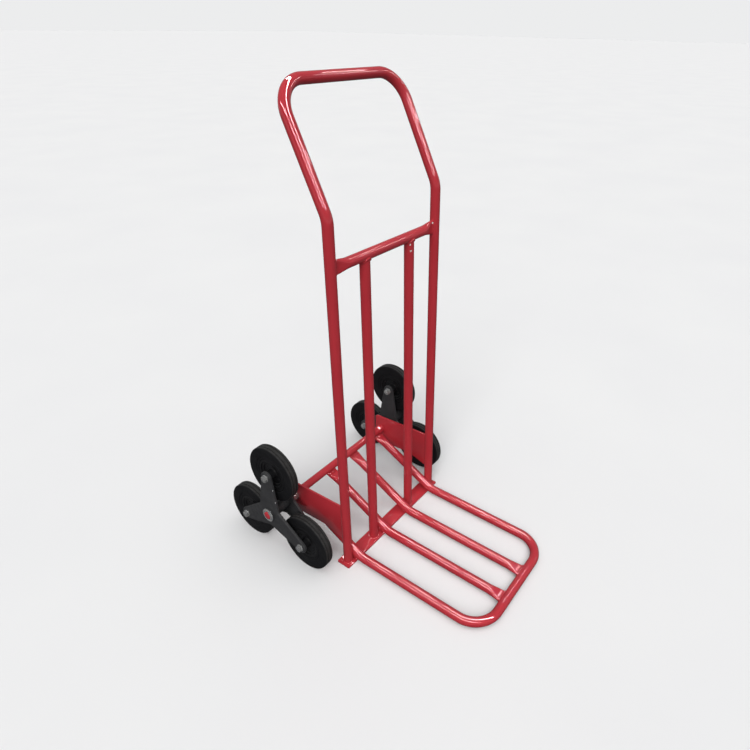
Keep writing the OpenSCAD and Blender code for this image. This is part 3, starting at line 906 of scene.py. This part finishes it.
def tab_welds():
    """Along both sides of the line where each pressed tab touches the axle, and a weave below it"""
    angle, _ = nose_slope()
    down = Vector((0, -math.cos(angle), -math.sin(angle)))
    out = Vector((0, math.sin(angle), -math.cos(angle)))
    touch = AXLE + out * AXLE_R
    welds = []
    for x in NOSE_TUBES_X:
        for way in (-1, 1):
            at = touch + down * way * 0.0070 - out * 0.0008 + X_AXIS * x
            points = along(at - X_AXIS * 0.0165, at + X_AXIS * 0.0165)
            welds.append(bead(points, 0.0036, False, Z_AXIS, 0.0056, 0.22))
        weave = []
        for k in range(121):
            t = k / 120
            drop = 0.0135 + 0.0044 * math.sin(7 * math.pi * t)
            weave.append(touch + down * drop - out * 0.0004 + X_AXIS * (x + 0.029 * (t - 0.5)))
        welds.append(bead(weave, 0.0027, False, Z_AXIS, 0.0046, 0.15))
    return welds


def bracket_welds():
    low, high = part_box("right_bracket")
    rear_y = UPRIGHT_Y + math.sqrt(TUBE_R ** 2 - (BRACKET_T / 2) ** 2)
    welds = []
    for sign in SIDES.values():
        for face in (-1, 1):
            x = sign * BRACKET_X + face * (BRACKET_T / 2 + BEAD_STANDS_OFF)
            points = along((x, rear_y, low.z + 0.012), (x, rear_y, high.z - 0.006))
            welds.append(bead(points, BEAD_R, False, Y_AXIS))
            centre = Vector((x, AXLE.y, AXLE.z))
            ring = circle_points(centre, AXLE_R + BEAD_STANDS_OFF, Y_AXIS, Z_AXIS)
            welds.append(bead(ring, BEAD_R, True, X_AXIS))
    return welds


def axle_collars():
    """The swollen run of weld round the axle on the inner face of each bracket"""
    swell = [(AXLE_R - 0.0005, 0.0), (0.0118, 0.0), (0.0131, 0.004), (0.0139, 0.009), (0.0137, 0.013),
             (0.0124, 0.018), (AXLE_R - 0.0005, 0.021)]
    collars = []
    for sign in SIDES.values():
        at = Vector((sign * (BRACKET_X - BRACKET_T / 2), AXLE.y, AXLE.z))
        place = Matrix.Translation(at) @ Matrix.Rotation(-sign * math.pi / 2, 4, "Y")
        collars.append(moved(lathe(fillet(swell, 0.003, 3)), place))
    return collars


def add_welds():
    groups = {"foot_welds": foot_welds(), "bar_top_welds": bar_top_welds(),
              "crossbar_welds": crossbar_end_welds(), "nose_front_welds": nose_front_welds(),
              "nose_plate_welds": nose_plate_welds(), "nose_tab_welds": tab_welds(),
              "bracket_welds": bracket_welds(), "axle_welds": axle_collars()}
    for name, welds in groups.items():
        piece(name, *joined(*welds), "red_paint", "frame", sharp_degrees=60)


# ---- stars ----

def axle_place(side, body):
    """The frame of a star or wheel at its joint: +Z outward along the axle, +X up"""
    sign = SIDES[side]
    turn = Matrix(((0, 0, sign), (0, -sign, 0), (1, 0, 0))).to_4x4()
    return Matrix.Translation(JOINT_AT[body]) @ turn


def arm_places():
    """The three arms' turns about the axle, each moved out to its wheel"""
    out = Matrix.Translation((STAR_REACH, 0, 0))
    return [Matrix.Rotation(angle, 4, "Z") @ out for angle in even_angles(3)]


def arm_tilt():
    reach = math.hypot(ARM_ROOT, STAR_REACH)
    return math.acos(ARM_END_R / reach) - math.atan2(STAR_REACH, ARM_ROOT)


def star_outline(inset, tip_steps=18, notch_steps=8):
    """Outline of a star moved inwards by inset, anticlockwise"""
    tilt = arm_tilt()
    notch = (ARM_END_R + STAR_REACH * math.sin(tilt) + NOTCH_R) / math.sin(math.pi / 3 + tilt)
    points = []
    for turn in even_angles(3):
        tip = Vector((STAR_REACH * math.cos(turn), STAR_REACH * math.sin(turn)))
        for i in range(tip_steps + 1):
            angle = turn + (math.pi / 2 - tilt) * (2 * i / tip_steps - 1)
            r = ARM_END_R - inset
            points.append((tip.x + r * math.cos(angle), tip.y + r * math.sin(angle)))
        mid = turn + math.pi / 3
        spread = math.pi / 6 - tilt
        for i in range(notch_steps + 1):
            angle = mid + math.pi - spread * (2 * i / notch_steps - 1)
            r = NOTCH_R + inset
            points.append((notch * math.cos(mid) + r * math.cos(angle),
                           notch * math.sin(mid) + r * math.sin(angle)))
    return points


def dished_height(x, y):
    """Height of the plate's face above its pads, with its creases and bends eased"""
    softness = 0.0012
    along_arms = [x * math.cos(way) + y * math.sin(way) for way in even_angles(3)]
    top = max(along_arms)
    far = top + softness * math.log(sum(math.exp((a - top) / softness) for a in along_arms))
    t = (HUB_SLOPE_END - far) / (HUB_SLOPE_END - HUB_FLAT)
    ease = 0.04
    if t <= -ease:
        return 0.0
    if t < ease:
        return PLATE_DISH * (t + ease) ** 2 / (4 * ease)
    if t < 1 - ease:
        return PLATE_DISH * t
    if t < 1 + ease:
        return PLATE_DISH * (1 - (1 + ease - t) ** 2 / (4 * ease))
    return PLATE_DISH


def face_points(spacing=0.004):
    """A staggered grid of points over the whole star, for its face's mesh"""
    reach = STAR_REACH + ARM_END_R
    rows = int(reach / spacing)
    steps = range(-rows, rows + 1)
    return [((i + j % 2 / 2) * spacing, j * spacing * 0.87) for i in steps for j in steps]


def inside(point, outline):
    x, y = point
    found = False
    for (x1, y1), (x2, y2) in zip(outline, outline[1:] + outline[:1]):
        if (y1 > y) != (y2 > y) and x < (x2 - x1) * (y - y1) / (y2 - y1) + x1:
            found = not found
    return found


def plate_face():
    """Triangulated face of a star plate inside its rounded edge, with its four holes"""
    outline = star_outline(PLATE_EDGE_R)
    loops = [outline]
    holes = [((0, 0), SLEEVE_R, 64)]
    for place in arm_places():
        holes.append((tuple(place.translation.xy), BOLT_HOLE_R, 32))
    for (cx, cy), r, count in holes:
        loops.append([(cx + r * math.cos(a), cy - r * math.sin(a)) for a in even_angles(count)])
    coords, edges = [], []
    for loop in loops:
        start = len(coords)
        coords += loop
        edges += [(start + i, start + (i + 1) % len(loop)) for i in range(len(loop))]
    border = star_outline(PLATE_EDGE_R + 0.0015)
    for p in face_points():
        clear = all(math.hypot(p[0] - c[0], p[1] - c[1]) > r + 0.0015 for c, r, _ in holes)
        if clear and inside(p, border):
            coords.append(p)
    found = delaunay_2d_cdt([Vector(c) for c in coords], edges, [], 1, 1e-7)
    points, triangles = found[0], found[2]
    kept = []
    for triangle in triangles:
        centre = sum((points[i] for i in triangle), Vector((0, 0))) / 3
        in_hole = any(math.hypot(centre.x - c[0], centre.y - c[1]) < r * 0.995 for c, r, _ in holes)
        if not in_hole and inside(tuple(centre), outline):
            kept.append(tuple(triangle))
    return points, kept, loops


def star_plate_mesh():
    """A pressed plate: its dished face, the same face PLATE_T below, and its turned-in rim"""
    points, triangles, loops = plate_face()
    heights = [dished_height(p.x, p.y) for p in points]
    top = [(p.x, p.y, PLATE_T + h) for p, h in zip(points, heights)]
    under = [(p.x, p.y, h) for p, h in zip(points, heights)]
    under_faces = [t[::-1] for t in triangles]
    walls = []
    for loop in loops[1:]:
        heights = [dished_height(x, y) for x, y in loop]
        walls.append(loft([[(x, y, h + PLATE_T) for (x, y), h in zip(loop, heights)],
                           [(x, y, h) for (x, y), h in zip(loop, heights)]], caps=False))
    return joined((top, triangles), (under, under_faces), plate_rim(), *walls)


def plate_rim():
    """The rounded edge and turned-in rim, from the face's outline round to its underside"""
    levels = [(inset, PLATE_T - drop) for inset, drop in eased_edge(PLATE_EDGE_R, 5)]
    foot = -PLATE_RIM
    levels += [(0, foot + 0.0004), (0.0004, foot), (PLATE_EDGE_R, foot), (PLATE_EDGE_R, 0)]
    rings = []
    for inset, z in levels:
        outline = star_outline(inset)
        rings.append([(x, y, z + dished_height(x, y)) for x, y in outline])
    return loft(rings, caps=False)


def hexagon(low, high, count=72):
    """A hexagonal head or nut about Z, its corners turned off at the top"""
    flat = HEX_AF / 2
    round_r = flat * 0.97
    angles = even_angles(count)
    radii = []
    for a in angles:
        across = (a + math.pi / 6) % (math.pi / 3) - math.pi / 6
        radii.append(flat / math.cos(across))
    slope = math.tan(math.radians(30))

    def level(scale, z_of):
        return [(r * scale * math.cos(a), r * scale * math.sin(a), z_of(r))
                for r, a in zip(radii, angles)]

    def top_edge(r):
        return high - (r - round_r) * slope

    crown = [(round_r * math.cos(a), round_r * math.sin(a), high) for a in angles]
    return loft([level(0.97, lambda r: low), level(1, lambda r: low + 0.0002),
                 level(1, top_edge), crown])


def add_star(side):
    body = side + "_star"
    place = axle_place(side, body)
    plate = star_plate_mesh()
    outer = Matrix.Translation((0, 0, PLATE_GAP / 2))
    for which, at in (("outer", outer), ("inner", Matrix.Scale(-1, 4, Z_AXIS) @ outer)):
        piece(f"{side}_star_{which}", *moved(plate, at), "star_paint", body,
              [f"{side}_{which}_star_plate"], place, 40)
    sleeve = washer(SLEEVE_BORE_R, SLEEVE_R, -SLEEVE_HALF, SLEEVE_HALF, 0.0005)
    piece(side + "_star_sleeve", *sleeve, "star_paint", body, [side + "_hub_sleeve"], place)
    add_hub_welds(side, place, body)
    add_bolts(side, place, body)


def add_hub_welds(side, place, body):
    """A bead round the sleeve where it passes through each plate"""
    height = PAD_OUT + PLATE_DISH + 0.0002
    rings = [circle_points(Vector((0, 0, z)), SLEEVE_R + 0.0002, X_AXIS, Y_AXIS)
             for z in (-height, height)]
    beads = [bead(ring, 0.0016, True, Z_AXIS) for ring in rings]
    piece(side + "_star_welds", *joined(*beads), "star_paint", body, (), place, 60)


def add_bolts(side, place, body):
    head_at = PAD_OUT + BOLT_WASHER_T
    tip = head_at + NUT_T + BOLT_END
    bolts, washers, nuts = [], [], []
    for k, arm in enumerate(arm_places()):
        turn = Matrix.Rotation(math.radians(17 + 23 * k), 4, "Z")
        shank = turned_bar([(BOLT_R - 0.0008, -tip), (BOLT_R, -tip + 0.0008), (BOLT_R, head_at)], 32)
        bolts += [moved(hexagon(head_at, head_at + HEAD_T), arm @ turn), moved(shank, arm)]
        nut = moved(hexagon(head_at, head_at + NUT_T), Matrix.Rotation(math.pi, 4, "X"))
        nuts.append(moved(nut, arm @ turn))
        for end in (0, math.pi):
            flat = washer(BOLT_HOLE_R, BOLT_WASHER_R, PAD_OUT, head_at)
            washers.append(moved(flat, arm @ Matrix.Rotation(end, 4, "X")))
    piece(side + "_hex_bolts", *joined(*bolts), "zinc", body, [side + "_wheel_bolts"], place)
    piece(side + "_flat_washers", *joined(*washers), "zinc", body, [side + "_bolt_washers"], place)
    piece(side + "_hex_nuts", *joined(*nuts), "zinc", body, [side + "_wheel_nuts"], place)


def snap_ring_mesh(low, high):
    """An open ring that clips into the axle's groove, with an eyed lug at each end"""
    inner_r, outer_r = AXLE_GROOVE_R + 0.00005, SNAP_RING_R - 0.0006
    opening = math.radians(46)
    rings = []
    steps = 60
    for i in range(steps + 1):
        angle = opening / 2 + (2 * math.pi - opening) * i / steps
        lug = 0.0022 * math.exp(-(min(i, steps - i) / 2.2) ** 2)
        section = fillet([(inner_r, low), (outer_r + lug, low),
                          (outer_r + lug, high), (inner_r, high)], 0.0002, 2)
        rings.append([(r * math.cos(angle), r * math.sin(angle), z) for r, z in section])
    return loft(rings)


def hub_washer_mesh(low, high):
    """The washer outside a star, with a rolled rim and a boss either side of a shallow hollow"""
    hollow = high - 0.0008
    inner_r = AXLE_R + 0.0002
    corners = [(inner_r, low), (HUB_WASHER_R, low), (HUB_WASHER_R, high), (0.0183, high),
               (0.0178, hollow), (0.0153, hollow), (0.0147, high), (inner_r, high)]
    radii = [0.0002, 0.0004, 0.0006, 0.0005, 0.0003, 0.0003, 0.0004, 0.0002]
    return lathe(fillet(corners, radii, 4))


def add_hub_hardware(side):
    place = axle_place(side, side + "_star")
    sign = SIDES[side]

    def outward(node):
        centre = JOINT_AT[side + "_star"].x
        return sorted(sign * (corner.x - centre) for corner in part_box(side + node))

    spacer = washer(AXLE_R + 0.0001, SPACER_R, *outward("_axle_spacer"))
    end_washer = hub_washer_mesh(*outward("_end_washer"))
    ring = snap_ring_mesh(*outward("_snap_ring"))
    piece(side + "_spacer_tube", *spacer, "zinc", "frame", [side + "_axle_spacer"], place)
    piece(side + "_hub_washer", *end_washer, "zinc", "frame", [side + "_end_washer"], place)
    piece(side + "_clip_ring", *ring, "zinc", "frame", [side + "_snap_ring"], place)


# ---- wheels ----

def tyre_half_profile():
    """Radius, height and fillet of each corner, from the inner rib round the side to the tread"""
    half, r = TYRE_HALF, WHEEL_R
    return [(0.034, 0.004, 0.0005), (0.040, 0.004, 0), (0.040, 0.008, 0.0004),
            (0.0442, 0.008, 0.0004), (0.0442, half - 0.0016, 0.0008), (0.0500, half - 0.0008, 0.0006),
            (0.0512, half - 0.0020, 0.0005), (0.0530, half - 0.0020, 0.0005),
            (0.0542, half, 0.0008), (r - 0.0015, half, 0.0035), (r, half - 0.0030, 0.0030),
            (r, 0.0062, 0.0005), (r - GROOVE_DEPTH, 0.0059, 0.0004),
            (r - GROOVE_DEPTH, 0.0041, 0.0004), (r, 0.0038, 0.0005)]


def tyre_mesh():
    half = tyre_half_profile()
    corners = [(r, z) for r, z, _ in half] + [(r, -z) for r, z, _ in reversed(half)]
    radii = [e for _, _, e in half] + [e for _, _, e in reversed(half)]
    return lathe(fillet(corners, radii, 4), 144)


def rim_half_mesh():
    """One pressed rim half: neck, web, step and the lip that holds the tyre"""
    t = 0.002
    gap = 0.00005
    corners = [(0.012, gap), (0.034, gap), (0.034, 0.004), (0.040, 0.004), (0.040, 0.008),
               (0.044, 0.008), (0.044, 0.010), (0.038, 0.010), (0.038, 0.006), (0.032, 0.006),
               (0.032, gap + t), (0.014, gap + t), (0.014, NECK_HALF), (0.012, NECK_HALF)]
    radii = [0, 0, 0.0005, 0.0015, 0.0010, 0.0006, 0.0006, 0.0018, 0.0018, 0.0022, 0.0020, 0.0030,
             0.0006, 0.0004]
    return lathe(fillet(corners, radii, 4))


def rivet_head():
    base = [(0.0034, 0.0020), (0.0035, 0.0023), (0.0032, 0.0028), (0.0025, 0.0033), (0.0015, 0.0036),
            (0.0006, 0.00365)]
    return turned_bar(base, 24)


def add_wheel(side, arm):
    name = side + "_" + arm
    body = name + "_wheel"
    place = axle_place(side, body)
    flip = Matrix.Rotation(math.pi, 4, "X")
    piece(name + "_tyre_ring", *tyre_mesh(), "tyre_rubber", body, [name + "_tyre"], place, 40)
    rim = rim_half_mesh()
    both = joined(rim, moved(rim, flip))
    piece(name + "_rim_pair", *both, "rim_paint", body, [name + "_rims"], place, 40)
    heads = []
    for angle in even_angles(RIVET_COUNT):
        spot = Matrix.Rotation(angle, 4, "Z") @ Matrix.Translation((RIVET_CIRCLE, 0, 0))
        heads += [moved(rivet_head(), spot), moved(rivet_head(), flip @ spot)]
    piece(name + "_rivet_heads", *joined(*heads), "rim_paint", body, [name + "_rivets"], place)


def dress_kept_nodes():
    """The CAD nodes that stay get the same materials"""
    record_slots = {s["node"]: s["material_slot"] for s in frame["record"]["subparts"]}
    for name, obj in frame["nodes"].items():
        obj.data.materials.clear()
        obj.data.materials.append(MATERIALS[record_slots[name]])


add_camera()
add_lights()
add_floor(floor_paint())
bpy.context.scene.view_settings.view_transform = "Standard"
dress_kept_nodes()
add_handle()
add_crossbar()
add_bars()
add_base_plate()
add_outer_nose()
add_inner_nose()
add_brackets()
add_axle()
add_welds()
for side_name in SIDES:
    add_star(side_name)
    add_hub_hardware(side_name)
    for arm_name in ARMS:
        add_wheel(side_name, arm_name)
